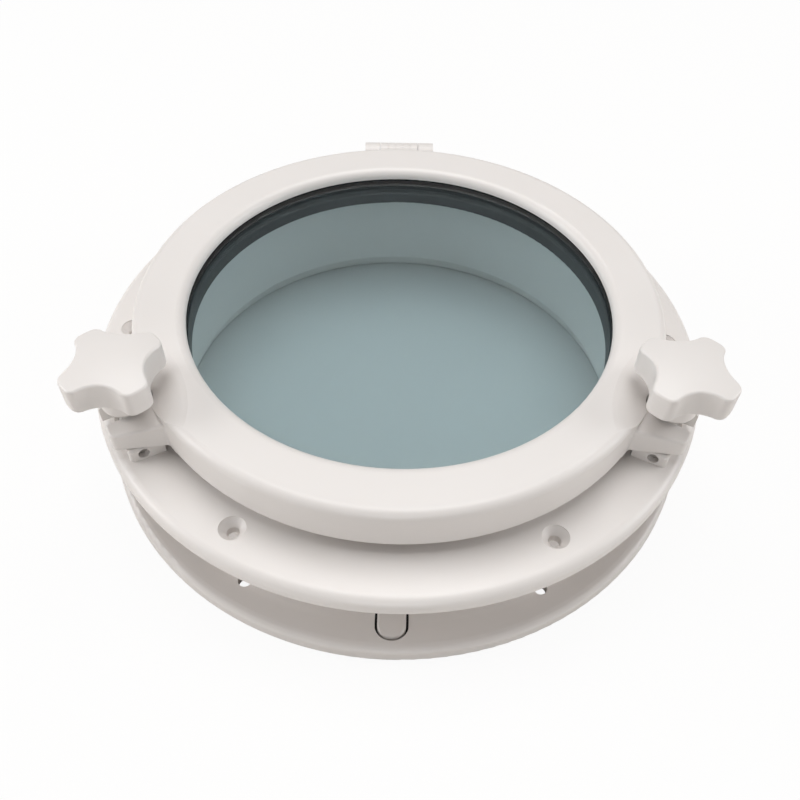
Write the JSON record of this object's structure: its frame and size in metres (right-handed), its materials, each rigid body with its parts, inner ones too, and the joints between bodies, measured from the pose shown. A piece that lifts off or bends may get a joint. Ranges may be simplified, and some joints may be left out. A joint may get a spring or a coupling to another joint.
{
  "type": "opening porthole",
  "caption": "Round opening porthole for a boat hull: hinged glazed lid held by swing bolts with lobed hand knobs, flanged frame with spigot, and sliding outer trim ring.",
  "frame": {"origin": "centre of the port, on the plane of the flange's back face, which lies on the inside of the hull", "axes": "+Z inboard, from the hull towards the lid; +Y towards the lid's hinge, which is up when the porthole is fitted; the drain is at -Y"},
  "size_m": [0.2948, 0.2948, 0.0987],
  "materials": {
    "white_abs": "satin moulded white",
    "tinted_acrylic": "clear, blue-grey tint",
    "black_rubber": "matt black",
    "black_plastic": "satin black",
    "stainless": "turned stainless",
    "nylon": "natural nylon",
    "brass": "turned brass"
  },
  "bodies": {
    "frame": {"main_frame": "white_abs", "drain_seal": "black_rubber", "hinge_pin": "stainless", "left_dog_pin": "stainless", "right_dog_pin": "stainless"},
    "trim": {"trim_ring": "white_abs"},
    "lid": {"lid_ring": "white_abs", "glass_pane": "tinted_acrylic", "glazing_gasket": "black_rubber", "retaining_ring": "black_plastic", "glazing_screws": "stainless", "main_seal": "black_rubber", "hinge_bushes": "nylon"},
    "left_dog": {"left_dog_bolt": "stainless", "left_dog_spacers": "nylon"},
    "left_lift": {"left_washer": "stainless"},
    "left_handle": {"left_knob": "white_abs", "left_knob_insert": "brass"},
    "right_dog": {"right_dog_bolt": "stainless", "right_dog_spacers": "nylon"},
    "right_lift": {"right_washer": "stainless"},
    "right_handle": {"right_knob": "white_abs", "right_knob_insert": "brass"}
  },
  "joints": [
    {"name": "lid_hinge", "type": "hinge", "parent": "frame", "child": "lid", "pos_m": [0, 0.1405, 0.02], "axis": [-1, 0, 0], "range_deg": [0, 105]},
    {"name": "trim_ring_slide", "type": "slide", "parent": "frame", "child": "trim", "axis": [0, 0, 1], "range_m": [0, 0.02]},
    {"name": "left_dog_swing", "type": "hinge", "parent": "frame", "child": "left_dog", "pos_m": [-0.11858, -0.06305, 0.011], "axis": [0.4695, -0.8829, 0], "range_deg": [0, 66]},
    {"name": "left_knob_lift", "type": "slide", "parent": "left_dog", "child": "left_lift", "axis": [0, 0, 1], "range_m": [0, 0.00505]},
    {"name": "left_knob_spin", "type": "hinge", "parent": "left_lift", "child": "left_handle", "pos_m": [-0.11858, -0.06305, 0.03], "axis": [0, 0, 1], "range_deg": [0, 1440]},
    {"name": "right_dog_swing", "type": "hinge", "parent": "frame", "child": "right_dog", "pos_m": [0.11858, -0.06305, 0.011], "axis": [0.4695, 0.8829, 0], "range_deg": [0, 66]},
    {"name": "right_knob_lift", "type": "slide", "parent": "right_dog", "child": "right_lift", "axis": [0, 0, 1], "range_m": [0, 0.00505]},
    {"name": "right_knob_spin", "type": "hinge", "parent": "right_lift", "child": "right_handle", "pos_m": [0.11858, -0.06305, 0.03], "axis": [0, 0, 1], "range_deg": [0, 1440]}
  ],
  "couplings": [
    {"joint": "left_knob_lift", "follows": "left_knob_spin", "m_per_rad": 0.00019894},
    {"joint": "right_knob_lift", "follows": "right_knob_spin", "m_per_rad": 0.00019894}
  ]
}
